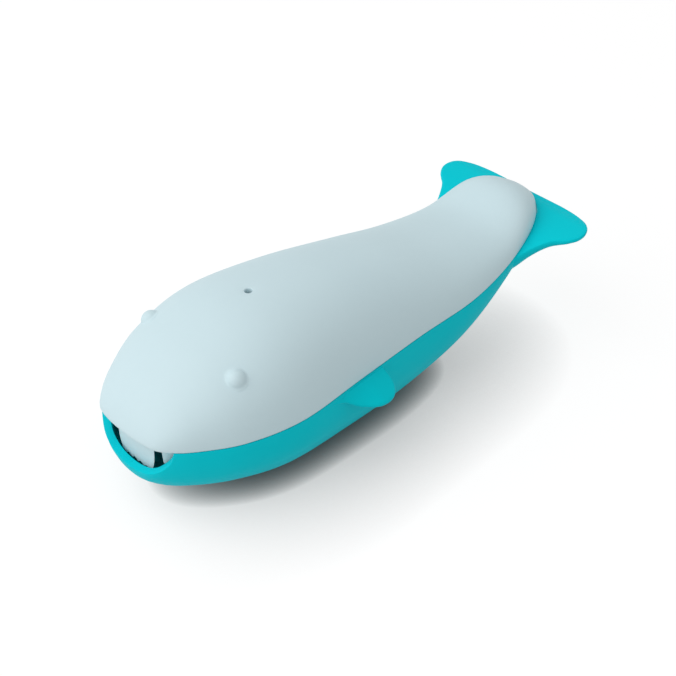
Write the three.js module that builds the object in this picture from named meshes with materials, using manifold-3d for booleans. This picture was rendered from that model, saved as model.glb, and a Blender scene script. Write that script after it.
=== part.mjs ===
// Whale bath toy: a belly shell and a back shell that opens on a hinge at the tail.
// A toothed flap hangs in the mouth, a steel keel bar lies in the belly and a foam float under the back.
// Millimetres, +Z up, nose towards -X, resting on the flat under the belly.

import * as THREE from 'three';
import { mergeVertices } from 'three/addons/utils/BufferGeometryUtils.js';
import Module from 'manifold-3d';

const wasm = await Module();
wasm.setup();

// The tail is built round the hinge pin, which lies just above the seam there.
const HINGE_ALONG = 71.5;
const HINGE_HEIGHT = 40.4;
const HINGE_ABOVE_SEAM = 0.9;
const TAIL_SEAM = HINGE_HEIGHT - HINGE_ABOVE_SEAM;
const TAIL_CLIMB = 2;
const TAIL_BEFORE_HINGE = 7.5;
const TAIL_BEHIND_HINGE = 1.5;
const TAIL_END = 5.1;

// Body sections from nose to tail: place along the body, half the width at the seam,
// height of the seam, rise of the back above it and drop of the belly below it.
const SECTIONS = [
  { along: -78.5, half: 0, seam: 27.5, rise: 0, drop: 0 },
  { along: -77.5, half: 10.5, seam: 27.5, rise: 3, drop: 12.5 },
  { along: -74.5, half: 15.5, seam: 27.5, rise: 7.5, drop: 16.5 },
  { along: -68, half: 20.5, seam: 27.5, rise: 13.5, drop: 19.5 },
  { along: -56.5, half: 26, seam: 27.5, rise: 20, drop: 22.5 },
  { along: -39.5, half: 28.5, seam: 27.5, rise: 25, drop: 26 },
  { along: -16.5, half: 26, seam: 28, rise: 24, drop: 28.5 },
  { along: 9.5, half: 23, seam: 28.5, rise: 19, drop: 28.5 },
  { along: 32.5, half: 21.5, seam: 29.5, rise: 12.5, drop: 22.5 },
  { along: 50.5, half: 18.5, seam: 32.5, rise: 8.5, drop: 13.5 },
  { along: HINGE_ALONG - TAIL_BEFORE_HINGE, half: 14.8, seam: TAIL_SEAM - TAIL_CLIMB, rise: 9.2, drop: 6 },
  { along: HINGE_ALONG + TAIL_BEHIND_HINGE, half: 8.2, seam: TAIL_SEAM, rise: 4.4, drop: 1.8 },
  { along: HINGE_ALONG + TAIL_END, half: 0, seam: TAIL_SEAM, rise: 0, drop: 0 },
];
const SECTION_POWER = 2.3;

// Shells and the lap where the back's skirt enters the belly.
const WALL = 2.2;
const SEAM_GAP = 0.3;
const FIT_GAP = 0.3;
const LAP_GAP = 0.6;
const SKIRT_WALL = 1.6;
const SKIRT_DEPTH = 7;
const SKIRT_END = 44;
const RIM_HEIGHT = 2.5;
const BELLY_HOLLOW_END = 9.5;
const BACK_HOLLOW_END = 10.6;

// Face: mouth notch in the belly's lip, eyes and blowhole in the back.
const NOTCH_HALF_WIDTH = 16;
const NOTCH_DEPTH = 9.5;
const NOTCH_LENGTH = 14;
const EYE_RADIUS = 2.9;
const EYE_PROUD = 1.8;
const EYE_STATION = 4.15;
const EYE_TURN = 48;
const BLOWHOLE_STATION = 5.25;
const BLOWHOLE_RADIUS = 1;
const BLOWHOLE_FLARE = 0.7;
const BLOWHOLE_DEPTH = 6.6;

// Mouth flap, its pin and the slots beside it.
const FLAP_GAP = 1.8;
const FLAP_THICKNESS = 1.8;
const FLAP_TOP_HALF = 8;
const FLAP_FOOT_HALF = 6.6;
const FLAP_SHOULDER = 5.5;
const FLAP_BELOW_LIP = 2.6;
const FLAP_TEETH = 5;
const TOOTH_DEPTH = 0.7;
const FLAP_SLOT = 2.8;
const FLAP_ROOM_ABOVE = 5;
const FLAP_PIN_BEHIND = 3.5;
const FLAP_PIN_ABOVE = 2.5;
const FLAP_BARREL_RADIUS = 2.1;
const FLAP_HEEL_LENGTH = 11;
const FLAP_HEEL_THICKNESS = 3;
const EAR_THICKNESS = 2;
const PIN_RADIUS = 1;

// Tail hinge, flukes and flippers. The flukes' outline runs from the hinge pin.
const LUG_RADIUS = 2;
const LUG_HALF_WIDTH = 2.5;
const LUG_LENGTH = 7.5;
const LUG_ROOT = 3.5;
const HINGE_PIN_HALF = 5.6;
const TAIL_NOTCH_BEFORE_PIN = 2.3;
const TAIL_NOTCH_GAP = 0.4;
const FLUKE_THICKNESS = 3.2;
const FLUKE_OUTLINE = [
  [-21.5, 17], [-12.5, 18.2], [-7.5, 22.5], [-4.2, 27], [-1.2, 28.9],
  [2.5, 28], [5.4, 24.4], [6.8, 17], [7, 8],
];
const FLIPPER_OUTLINE = [
  [-22.3, 2], [-19.5, 6.2], [-14, 8.5], [-9.3, 7.8], [-6.8, 4.5],
];
const FLIPPER_ROOT_DEPTH = 4;
const FLIPPER_SPREAD = 25;
const FLIPPER_HEIGHT = 25;
const FLIPPER_DROOP = 25;
const FLIPPER_THICKNESS = 2;
const FLIPPER_ROUND = 0.8;

// Keel bar on the belly's floor, held by a cover and two screws.
const KEEL_MIDDLE = -9;
const KEEL_LENGTH = 41;
const KEEL_WIDTH = 11;
const KEEL_HEIGHT = 6;
const KEEL_FLOOR = 4;
const KEEL_SEAT_HALF = 7.5;
const COVER_THICKNESS = 1.6;
const COVER_WIDTH = 13;

// Foam float under the back, held by a strap and two screws.
const FLOAT_MIDDLE = -2;
const FLOAT_LENGTH = 40;
const FLOAT_HALF_WIDTH = 15;
const FLOAT_UNDERSIDE = 33;
const STRAP_WIDTH = 12;
const STRAP_THICKNESS = 1.6;

// Screws and the posts that take them.
const POST_RADIUS = 3;
const POST_GAP = 0.6;
const SCREW_RADIUS = 1;
const SCREW_HEAD_RADIUS = 2.3;
const SCREW_HEAD_HEIGHT = 1.5;
const SCREW_LENGTH = 7;

// Facets, and a reach well past the body for tools that cut right through.
const SKIN_RINGS = 3;
const SKIN_FACETS = 32;
const INSIDE_RINGS = 2;
const INSIDE_FACETS = 24;
const SEAM_STEPS = 48;
const NOTCH_STEPS = 24;
const ROUND_FACETS = 20;
const EYE_FACETS = 16;
const EYE_RINGS = 10;
const FLUKE_EDGE_STEPS = 6;
const FLIPPER_EDGE_STEPS = 4;
const FLIPPER_ROUND_STEPS = 2;
const LUG_EDGE_STEPS = 10;
const PLATE_END_STEPS = 6;
const NORMAL_STEP = 0.01;
const MERGE_WITHIN = 1e-5;
const REACH = 120;

// Solids: closed three.js geometry turned into shapes that can be joined and cut.
function solid(geometry) {
  const bare = geometry.clone();
  bare.deleteAttribute('normal');
  bare.deleteAttribute('uv');
  const merged = mergeVertices(bare, MERGE_WITHIN);
  return new wasm.Manifold(new wasm.Mesh({
    numProp: 3,
    vertProperties: new Float32Array(merged.attributes.position.array),
    triVerts: new Uint32Array(merged.index.array),
  }));
}

function join(first, ...others) {
  return others.reduce((sum, next) => sum.add(next), first);
}

function cut(first, ...others) {
  return others.reduce((rest, next) => rest.subtract(next), first);
}

function box([x0, x1], [y0, y1], [z0, z1]) {
  const geometry = new THREE.BoxGeometry(x1 - x0, y1 - y0, z1 - z0);
  geometry.translate((x0 + x1) / 2, (y0 + y1) / 2, (z0 + z1) / 2);
  return solid(geometry);
}

function rodAcross(radius, halfLength, x, z, y = 0) {
  const geometry = new THREE.CylinderGeometry(radius, radius, 2 * halfLength, ROUND_FACETS);
  geometry.translate(x, y, z);
  return solid(geometry);
}

function rodUpright(radius, [z0, z1], x, y = 0, topRadius = radius) {
  const geometry = new THREE.CylinderGeometry(topRadius, radius, z1 - z0, ROUND_FACETS);
  geometry.rotateX(Math.PI / 2);
  geometry.translate(x, y, (z0 + z1) / 2);
  return solid(geometry);
}

function extrudeFrom(shape, depth, basis, options = {}) {
  const geometry = new THREE.ExtrudeGeometry(shape, { depth, bevelEnabled: false, steps: 1, ...options });
  geometry.applyMatrix4(basis);
  return solid(geometry);
}

// A side view (along the body, height) given depth across the body.
function acrossBody(shape, halfDepth) {
  const basis = new THREE.Matrix4().makeRotationX(Math.PI / 2);
  basis.setPosition(0, halfDepth, 0);
  return extrudeFrom(shape, 2 * halfDepth, basis);
}

// A front view (across the body, height) given depth along the body from x0.
function alongBody(shape, x0, depth) {
  const basis = new THREE.Matrix4().makeBasis(
    new THREE.Vector3(0, 1, 0),
    new THREE.Vector3(0, 0, 1),
    new THREE.Vector3(1, 0, 0),
  );
  basis.setPosition(x0, 0, 0);
  return extrudeFrom(shape, depth, basis);
}

// A plan view (along the body, across it) given depth upwards from z0.
function upwards(shape, z0, depth) {
  return extrudeFrom(shape, depth, new THREE.Matrix4().makeTranslation(0, 0, z0));
}

// The body's surface: smooth curves through the sections, with rounded cross-sections between them.
const LAST = SECTIONS.length - 1;
const curveOf = (key) => new THREE.SplineCurve(SECTIONS.map((s) => new THREE.Vector2(s.along, s[key])));
const CURVES = {
  half: curveOf('half'),
  seam: curveOf('seam'),
  rise: curveOf('rise'),
  drop: curveOf('drop'),
};

function measure(station, key) {
  return CURVES[key].getPoint(THREE.MathUtils.clamp(station / LAST, 0, 1)).y;
}

function along(station) {
  return CURVES.seam.getPoint(THREE.MathUtils.clamp(station / LAST, 0, 1)).x;
}

function rounded(value) {
  return Math.sign(value) * Math.abs(value) ** (2 / SECTION_POWER);
}

function bodyPoint(station, turn) {
  const height = measure(station, Math.sin(turn) >= 0 ? 'rise' : 'drop');
  return new THREE.Vector3(
    along(station),
    measure(station, 'half') * rounded(Math.cos(turn)),
    measure(station, 'seam') + height * rounded(Math.sin(turn)),
  );
}

function bodyNormal(station, turn) {
  const forward = bodyPoint(station + NORMAL_STEP, turn).sub(bodyPoint(station - NORMAL_STEP, turn));
  const round = bodyPoint(station, turn + NORMAL_STEP).sub(bodyPoint(station, turn - NORMAL_STEP));
  return round.cross(forward).normalize();
}

// The body with its skin moved inwards by inset, from the nose to a given station.
// Inner surfaces have fewer facets than the skin, and all of them share the same ones.
function bodySolid(inset, lastStation = LAST) {
  const positions = [];
  const index = [];
  const facets = inset > 0 ? INSIDE_FACETS : SKIN_FACETS;
  const rings = Math.round(lastStation * (inset > 0 ? INSIDE_RINGS : SKIN_RINGS));
  const closesAtTail = lastStation === LAST;
  const ringCount = closesAtTail ? rings - 1 : rings;
  const nose = new THREE.Vector3(along(0) + inset, 0, measure(0, 'seam'));
  const tail = new THREE.Vector3(along(lastStation), 0, measure(lastStation, 'seam'));
  if (closesAtTail) tail.x -= inset;
  positions.push(...nose.toArray());
  for (let ring = 1; ring <= ringCount; ring += 1) {
    const station = (lastStation * ring) / rings;
    for (let facet = 0; facet < facets; facet += 1) {
      const turn = (2 * Math.PI * facet) / facets;
      const point = bodyPoint(station, turn).addScaledVector(bodyNormal(station, turn), -inset);
      positions.push(...point.toArray());
    }
  }
  positions.push(...tail.toArray());
  const tailIndex = positions.length / 3 - 1;
  const at = (ring, facet) => 1 + ring * facets + (facet % facets);
  for (let facet = 0; facet < facets; facet += 1) {
    index.push(0, at(0, facet + 1), at(0, facet));
    index.push(tailIndex, at(ringCount - 1, facet), at(ringCount - 1, facet + 1));
    for (let ring = 0; ring < ringCount - 1; ring += 1) {
      index.push(at(ring, facet), at(ring, facet + 1), at(ring + 1, facet));
      index.push(at(ring + 1, facet), at(ring, facet + 1), at(ring + 1, facet + 1));
    }
  }
  const geometry = new THREE.BufferGeometry();
  geometry.setAttribute('position', new THREE.Float32BufferAttribute(positions, 3));
  geometry.setIndex(index);
  return solid(geometry);
}

// Everything on one side of the seam, moved up by a given height.
function seamSide(raise, farHeight) {
  const shape = new THREE.Shape();
  shape.moveTo(-REACH, farHeight);
  shape.lineTo(-REACH, measure(0, 'seam') + raise);
  for (let step = 0; step <= SEAM_STEPS; step += 1) {
    const station = (LAST * step) / SEAM_STEPS;
    shape.lineTo(along(station), measure(station, 'seam') + raise);
  }
  shape.lineTo(REACH, measure(LAST, 'seam') + raise);
  shape.lineTo(REACH, farHeight);
  return acrossBody(shape, REACH);
}

const aboveSeam = (raise) => seamSide(raise, REACH);
const belowSeam = (raise) => seamSide(raise, -REACH);

// Places that several pieces share.
const OUTER = bodySolid(0);
const MID_WALL = bodySolid(WALL / 2, BACK_HOLLOW_END);
const NOSE = along(0);
const NOSE_SEAM = measure(0, 'seam');
const FLAP_FRONT = NOSE + WALL + FLAP_GAP;
const FLAP_PIN_X = FLAP_FRONT + FLAP_PIN_BEHIND;
const FLAP_PIN_Z = NOSE_SEAM + FLAP_PIN_ABOVE;
const FLAP_FOOT = NOSE_SEAM - NOTCH_DEPTH - FLAP_BELOW_LIP;
const EAR_INSIDE = FLAP_TOP_HALF + FIT_GAP;
const EAR_OUTSIDE = EAR_INSIDE + EAR_THICKNESS;
const BORE_RADIUS = PIN_RADIUS + FIT_GAP;
const SCREW_HOLE = SCREW_RADIUS + FIT_GAP;
const KEEL_TOP = KEEL_FLOOR + FIT_GAP + KEEL_HEIGHT;
const KEEL_POST_OFFSET = KEEL_LENGTH / 2 + POST_GAP + POST_RADIUS;
const KEEL_POSTS = [KEEL_MIDDLE - KEEL_POST_OFFSET, KEEL_MIDDLE + KEEL_POST_OFFSET];
const FLOAT_POST_OFFSET = FLOAT_LENGTH / 2 + POST_GAP + POST_RADIUS;
const FLOAT_POSTS = [FLOAT_MIDDLE - FLOAT_POST_OFFSET, FLOAT_MIDDLE + FLOAT_POST_OFFSET];
const PLATE_END = POST_RADIUS + FIT_GAP;
const ACROSS = [-REACH, REACH];

function flukes() {
  const shape = new THREE.Shape();
  const edge = FLUKE_OUTLINE.map(([x, y]) => new THREE.Vector2(HINGE_ALONG + x, y));
  shape.moveTo(edge[0].x, 0);
  shape.lineTo(edge[0].x, edge[0].y);
  shape.splineThru(edge.slice(1));
  shape.lineTo(edge[edge.length - 1].x, 0);
  const left = upwards(new THREE.Shape(shape.getPoints(FLUKE_EDGE_STEPS)), 0, REACH);
  const slab = belowSeam(-SEAM_GAP / 2).subtract(belowSeam(-SEAM_GAP / 2 - FLUKE_THICKNESS));
  return join(left, left.mirror([0, 1, 0])).intersect(slab);
}

function flipper(side) {
  const droop = THREE.MathUtils.degToRad(FLIPPER_DROOP);
  const outwards = new THREE.Vector3(0, side * Math.cos(droop), -Math.sin(droop));
  const lengthwise = new THREE.Vector3(1, 0, 0);
  const basis = new THREE.Matrix4().makeBasis(
    lengthwise, outwards, new THREE.Vector3().crossVectors(lengthwise, outwards));
  basis.setPosition(0, side * FLIPPER_SPREAD, FLIPPER_HEIGHT);
  basis.multiply(new THREE.Matrix4().makeTranslation(0, 0, -FLIPPER_THICKNESS / 2));
  const edge = FLIPPER_OUTLINE.map(([x, y]) => new THREE.Vector2(x, y));
  const shape = new THREE.Shape();
  shape.moveTo(edge[0].x, -FLIPPER_ROOT_DEPTH);
  shape.lineTo(edge[0].x, edge[0].y);
  shape.splineThru(edge.slice(1));
  shape.lineTo(edge[edge.length - 1].x, -FLIPPER_ROOT_DEPTH);
  const fin = extrudeFrom(new THREE.Shape(shape.getPoints(FLIPPER_EDGE_STEPS)), FLIPPER_THICKNESS, basis, {
    bevelEnabled: true,
    bevelThickness: FLIPPER_ROUND,
    bevelSize: FLIPPER_ROUND,
    bevelOffset: -FLIPPER_ROUND,
    bevelSegments: FLIPPER_ROUND_STEPS,
  });
  return cut(fin, bodySolid(WALL / 2, BELLY_HOLLOW_END)).intersect(belowSeam(-SEAM_GAP / 2));
}

function mouthNotch() {
  const shape = new THREE.Shape();
  shape.moveTo(NOTCH_HALF_WIDTH, NOSE_SEAM + NOTCH_DEPTH);
  shape.lineTo(-NOTCH_HALF_WIDTH, NOSE_SEAM + NOTCH_DEPTH);
  for (let step = 0; step <= NOTCH_STEPS; step += 1) {
    const turn = Math.PI * (1 + step / NOTCH_STEPS);
    shape.lineTo(NOTCH_HALF_WIDTH * Math.cos(turn), NOSE_SEAM + NOTCH_DEPTH * Math.sin(turn));
  }
  return alongBody(shape, NOSE - WALL, NOTCH_LENGTH + WALL);
}

function hingeLug() {
  const front = HINGE_ALONG - LUG_LENGTH;
  const shape = new THREE.Shape();
  shape.moveTo(front, HINGE_HEIGHT + LUG_RADIUS);
  shape.lineTo(front, HINGE_HEIGHT - LUG_ROOT - LUG_RADIUS);
  shape.lineTo(HINGE_ALONG - TAIL_NOTCH_BEFORE_PIN, HINGE_HEIGHT - LUG_ROOT);
  shape.lineTo(HINGE_ALONG, HINGE_HEIGHT - LUG_RADIUS);
  shape.absarc(HINGE_ALONG, HINGE_HEIGHT, LUG_RADIUS, -Math.PI / 2, Math.PI / 2, false);
  return acrossBody(new THREE.Shape(shape.getPoints(LUG_EDGE_STEPS)), LUG_HALF_WIDTH);
}

// Room through the flukes for the end of the back shell, which swings down behind the hinge pin.
function backEndRoom() {
  const edge = [];
  for (let step = 0; step <= SEAM_STEPS; step += 1) {
    const station = (LAST * step) / SEAM_STEPS;
    edge.push(new THREE.Vector2(along(station), measure(station, 'half')).addScalar(TAIL_NOTCH_GAP));
  }
  const otherSide = edge.toReversed().map(({ x, y }) => new THREE.Vector2(x, -y));
  const behindPin = box([HINGE_ALONG - TAIL_NOTCH_BEFORE_PIN, REACH], ACROSS, ACROSS);
  return upwards(new THREE.Shape([...edge, ...otherSide]), 0, REACH).intersect(behindPin);
}

function bellyShell() {
  const hollow = bodySolid(WALL, BELLY_HOLLOW_END);
  const skinSide = bodySolid(WALL / 2, BELLY_HOLLOW_END);
  const keelEnds = [KEEL_POSTS[0] - PLATE_END, KEEL_POSTS[1] + PLATE_END];
  const seat = box(keelEnds, [-KEEL_SEAT_HALF, KEEL_SEAT_HALF], [0, KEEL_FLOOR]);
  const posts = KEEL_POSTS.map((x) => rodUpright(POST_RADIUS, [0, KEEL_TOP], x));
  const inside = join(seat, ...posts).intersect(skinSide);
  const screwHoles = KEEL_POSTS.map((x) => rodUpright(SCREW_HOLE, [KEEL_FLOOR, REACH], x));
  const shell = join(
    cut(OUTER.intersect(belowSeam(-SEAM_GAP / 2)), hollow, mouthNotch()),
    flipper(-1),
    flipper(1),
    cut(flukes(), hollow),
    inside,
  );
  const standing = box([-REACH, REACH], ACROSS, [-REACH, 0]);
  const hinged = join(cut(shell, backEndRoom(), standing, ...screwHoles), hingeLug());
  return cut(hinged, rodAcross(BORE_RADIUS, REACH, HINGE_ALONG, HINGE_HEIGHT));
}

function backSkirt() {
  const outside = bodySolid(WALL + LAP_GAP, BELLY_HOLLOW_END);
  const inside = bodySolid(WALL + LAP_GAP + SKIRT_WALL, BELLY_HOLLOW_END);
  const band = cut(belowSeam(RIM_HEIGHT), belowSeam(-SKIRT_DEPTH));
  return cut(outside, inside).intersect(band).intersect(box([-REACH, SKIRT_END], ACROSS, ACROSS));
}

function eyes() {
  const turns = [EYE_TURN, 180 - EYE_TURN].map((degrees) => THREE.MathUtils.degToRad(degrees));
  return turns.map((turn) => {
    const centre = bodyPoint(EYE_STATION, turn);
    centre.addScaledVector(bodyNormal(EYE_STATION, turn), EYE_PROUD - EYE_RADIUS);
    const geometry = new THREE.SphereGeometry(EYE_RADIUS, EYE_FACETS, EYE_RINGS);
    geometry.translate(...centre.toArray());
    return cut(solid(geometry), bodySolid(WALL, BACK_HOLLOW_END));
  });
}

function blowhole() {
  const crown = bodyPoint(BLOWHOLE_STATION, Math.PI / 2);
  const bore = rodUpright(BLOWHOLE_RADIUS, [crown.z - BLOWHOLE_DEPTH, crown.z + WALL], crown.x);
  const flare = rodUpright(
    BLOWHOLE_RADIUS, [crown.z - BLOWHOLE_FLARE, crown.z + BLOWHOLE_FLARE], crown.x, 0,
    BLOWHOLE_RADIUS + 2 * BLOWHOLE_FLARE);
  return join(bore, flare);
}

function flapEars() {
  const length = [FLAP_PIN_X - FLAP_BARREL_RADIUS, FLAP_PIN_X + FLAP_BARREL_RADIUS];
  const height = [FLAP_PIN_Z - FLAP_BARREL_RADIUS, REACH];
  const pair = join(
    box(length, [EAR_INSIDE, EAR_OUTSIDE], height),
    box(length, [-EAR_OUTSIDE, -EAR_INSIDE], height),
  );
  return pair.intersect(MID_WALL);
}

// Room in the back shell for the belly's hinge lug, at rest and as the back swings open.
function lugRoom() {
  const half = LUG_HALF_WIDTH + FIT_GAP;
  const front = HINGE_ALONG - LUG_LENGTH - LUG_RADIUS;
  const radius = LUG_RADIUS + FIT_GAP;
  return join(
    rodAcross(radius, half, HINGE_ALONG, HINGE_HEIGHT),
    box([front, HINGE_ALONG], [-half, half], [0, HINGE_HEIGHT + radius]),
    box([HINGE_ALONG, REACH], [-half, half], [0, HINGE_HEIGHT]),
  );
}

function backShell() {
  const roomAboveRim = bodySolid(WALL, BACK_HOLLOW_END).intersect(aboveSeam(RIM_HEIGHT));
  const roomInSkirt = bodySolid(WALL + LAP_GAP + SKIRT_WALL, BELLY_HOLLOW_END);
  const mouthHalf = FLAP_TOP_HALF + FLAP_SLOT;
  const mouthRoom = bodySolid(WALL, BELLY_HOLLOW_END).intersect(
    box([-REACH, NOSE + NOTCH_LENGTH], [-mouthHalf, mouthHalf], [0, NOSE_SEAM + FLAP_ROOM_ABOVE]));
  const shell = join(
    cut(OUTER.intersect(aboveSeam(SEAM_GAP / 2)), roomAboveRim, roomInSkirt),
    backSkirt(),
    ...eyes(),
  );
  const postHeight = [FLOAT_UNDERSIDE, REACH];
  const posts = FLOAT_POSTS.map((x) => rodUpright(POST_RADIUS, postHeight, x).intersect(MID_WALL));
  const fitted = join(cut(shell, mouthRoom), flapEars(), ...posts);
  const screwTop = FLOAT_UNDERSIDE + SCREW_LENGTH;
  const screwHoles = FLOAT_POSTS.map((x) => rodUpright(SCREW_HOLE, [0, screwTop], x));
  const hingeBore = rodAcross(
    BORE_RADIUS, REACH / 2, HINGE_ALONG, HINGE_HEIGHT, REACH / 2 - HINGE_PIN_HALF - FIT_GAP);
  const flapBore = rodAcross(BORE_RADIUS, EAR_OUTSIDE + FIT_GAP, FLAP_PIN_X, FLAP_PIN_Z);
  return cut(fitted, blowhole(), lugRoom(), hingeBore, flapBore, ...screwHoles);
}

function mouthFlap() {
  const shape = new THREE.Shape();
  const shoulder = NOSE_SEAM - FLAP_SHOULDER;
  const plateTop = FLAP_PIN_Z - FIT_GAP;
  shape.moveTo(FLAP_TOP_HALF, plateTop);
  shape.lineTo(-FLAP_TOP_HALF, plateTop);
  shape.lineTo(-FLAP_TOP_HALF, shoulder);
  const pitch = (2 * FLAP_FOOT_HALF) / FLAP_TEETH;
  for (let tooth = 0; tooth < FLAP_TEETH; tooth += 1) {
    const start = -FLAP_FOOT_HALF + tooth * pitch;
    shape.lineTo(start, FLAP_FOOT + TOOTH_DEPTH);
    shape.lineTo(start + pitch / 2, FLAP_FOOT);
  }
  shape.lineTo(FLAP_FOOT_HALF, FLAP_FOOT + TOOTH_DEPTH);
  shape.lineTo(FLAP_TOP_HALF, shoulder);
  const plate = alongBody(shape, FLAP_FRONT, FLAP_THICKNESS);
  const bridge = box(
    [FLAP_FRONT, FLAP_PIN_X],
    [-FLAP_TOP_HALF, FLAP_TOP_HALF],
    [FLAP_PIN_Z - FLAP_BARREL_RADIUS, plateTop]);
  const barrel = rodAcross(FLAP_BARREL_RADIUS, FLAP_TOP_HALF, FLAP_PIN_X, FLAP_PIN_Z);
  // The heel behind the pin outweighs the plate, so the flap hangs shut.
  const heel = box(
    [FLAP_PIN_X, FLAP_PIN_X + FLAP_HEEL_LENGTH],
    [-FLAP_TOP_HALF, FLAP_TOP_HALF],
    [FLAP_PIN_Z - FLAP_HEEL_THICKNESS / 2, FLAP_PIN_Z + FLAP_HEEL_THICKNESS / 2]);
  return cut(join(plate, bridge, barrel, heel), rodAcross(BORE_RADIUS, REACH, FLAP_PIN_X, FLAP_PIN_Z));
}

function flapPin() {
  return rodAcross(PIN_RADIUS, EAR_OUTSIDE, FLAP_PIN_X, FLAP_PIN_Z);
}

function hingePin() {
  return rodAcross(PIN_RADIUS, HINGE_PIN_HALF, HINGE_ALONG, HINGE_HEIGHT);
}

function keelWeight() {
  return box(
    [KEEL_MIDDLE - KEEL_LENGTH / 2, KEEL_MIDDLE + KEEL_LENGTH / 2],
    [-KEEL_WIDTH / 2, KEEL_WIDTH / 2],
    [KEEL_FLOOR + FIT_GAP, KEEL_TOP]);
}

// A flat plate with round ends over two posts, with a hole above each.
function postPlate(posts, width, z0, thickness) {
  const shape = new THREE.Shape();
  const round = PLATE_END;
  shape.moveTo(posts[0], -width / 2);
  shape.lineTo(posts[1], -width / 2);
  shape.quadraticCurveTo(posts[1] + round, -width / 2, posts[1] + round, 0);
  shape.quadraticCurveTo(posts[1] + round, width / 2, posts[1], width / 2);
  shape.lineTo(posts[0], width / 2);
  shape.quadraticCurveTo(posts[0] - round, width / 2, posts[0] - round, 0);
  shape.quadraticCurveTo(posts[0] - round, -width / 2, posts[0], -width / 2);
  const plate = upwards(new THREE.Shape(shape.getPoints(PLATE_END_STEPS)), z0, thickness);
  return cut(plate, ...posts.map((x) => rodUpright(SCREW_HOLE, [z0 - WALL, z0 + thickness + WALL], x)));
}

function keelCover() {
  return postPlate(KEEL_POSTS, COVER_WIDTH, KEEL_TOP + FIT_GAP, COVER_THICKNESS);
}

function floatStrap() {
  return postPlate(FLOAT_POSTS, STRAP_WIDTH, FLOAT_UNDERSIDE - FIT_GAP - STRAP_THICKNESS, STRAP_THICKNESS);
}

// A pan-head screw at each post, its head against a plate; side is +1 for heads above the plate.
function screws(posts, plateFace, side, reach) {
  const head = plateFace + side * FIT_GAP;
  const heights = (from, to) => [Math.min(from, to), Math.max(from, to)];
  return posts.map((x) => join(
    rodUpright(SCREW_HEAD_RADIUS, heights(head, head + side * SCREW_HEAD_HEIGHT), x),
    rodUpright(SCREW_RADIUS, heights(head + side * SCREW_HEAD_HEIGHT / 2, head - side * reach), x),
  ));
}

function keelScrews() {
  const coverTop = KEEL_TOP + FIT_GAP + COVER_THICKNESS;
  return screws(KEEL_POSTS, coverTop, 1, SCREW_LENGTH);
}

function floatScrews() {
  const strapFace = FLOAT_UNDERSIDE - FIT_GAP - STRAP_THICKNESS;
  return screws(FLOAT_POSTS, strapFace, -1, SCREW_LENGTH);
}

function floatBlock() {
  const room = box(
    [FLOAT_MIDDLE - FLOAT_LENGTH / 2, FLOAT_MIDDLE + FLOAT_LENGTH / 2],
    [-FLOAT_HALF_WIDTH, FLOAT_HALF_WIDTH],
    [FLOAT_UNDERSIDE, REACH]);
  return bodySolid(WALL + FIT_GAP, BELLY_HOLLOW_END).intersect(room);
}

// Finishes and the finished toy.
const FINISH = {
  teal: { color: 0x00b9c8, roughness: 0.45, metalness: 0 },
  pale: { color: 0xcde3e9, roughness: 0.6, metalness: 0 },
  steel: { color: 0xb4b8bb, roughness: 0.35, metalness: 1 },
  foam: { color: 0xf2f2ec, roughness: 0.95, metalness: 0 },
};

function named(name, shape, finish) {
  const { vertProperties, triVerts } = shape.getMesh();
  const geometry = new THREE.BufferGeometry();
  geometry.setAttribute('position', new THREE.BufferAttribute(vertProperties, 3));
  geometry.setIndex(new THREE.BufferAttribute(triVerts, 1));
  geometry.computeVertexNormals();
  const mesh = new THREE.Mesh(geometry, new THREE.MeshStandardMaterial(FINISH[finish]));
  mesh.name = name;
  return mesh;
}

const END_NAMES = ['front', 'rear'];
const toy = new THREE.Group();
toy.name = 'whale_bath_toy';
toy.add(
  named('belly_shell', bellyShell(), 'teal'),
  named('back_shell', backShell(), 'pale'),
  named('hinge_pin', hingePin(), 'steel'),
  named('mouth_flap', mouthFlap(), 'pale'),
  named('flap_pin', flapPin(), 'steel'),
  named('keel_weight', keelWeight(), 'steel'),
  named('keel_cover', keelCover(), 'teal'),
  ...keelScrews().map((screw, end) => named(`keel_screw_${END_NAMES[end]}`, screw, 'steel')),
  named('float_block', floatBlock(), 'foam'),
  named('float_strap', floatStrap(), 'pale'),
  ...floatScrews().map((screw, end) => named(`float_screw_${END_NAMES[end]}`, screw, 'steel')),
);

export default toy;
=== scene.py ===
# %% [markdown]
# The toy is a whale of moulded plastic. A pale back shell sits on a teal belly shell and opens on a pin
# under the tail, and a toothed flap hangs in the mouth. The solids that come with the part hold every size
# and place. This lesson makes smooth skins for the three mouldings, and gives every piece its finish.

# %% Load the solids
import math

import bmesh
import bpy
import numpy as np
from mathutils import Matrix, Vector


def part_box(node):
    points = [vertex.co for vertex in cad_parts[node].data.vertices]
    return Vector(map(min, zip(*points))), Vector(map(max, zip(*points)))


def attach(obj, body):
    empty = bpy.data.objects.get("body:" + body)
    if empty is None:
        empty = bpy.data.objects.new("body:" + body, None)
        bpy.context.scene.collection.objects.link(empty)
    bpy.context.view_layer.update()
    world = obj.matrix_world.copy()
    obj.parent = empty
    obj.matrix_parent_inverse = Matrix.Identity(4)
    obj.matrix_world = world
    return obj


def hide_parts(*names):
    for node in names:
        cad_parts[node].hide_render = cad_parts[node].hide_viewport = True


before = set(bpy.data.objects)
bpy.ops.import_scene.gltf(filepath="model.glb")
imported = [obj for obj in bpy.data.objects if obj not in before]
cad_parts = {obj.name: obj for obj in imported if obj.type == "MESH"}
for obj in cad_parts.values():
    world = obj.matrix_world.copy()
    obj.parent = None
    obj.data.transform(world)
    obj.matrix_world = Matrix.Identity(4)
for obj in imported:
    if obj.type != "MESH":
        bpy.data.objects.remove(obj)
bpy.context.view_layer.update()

print("solids:", sorted(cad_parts))

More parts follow.
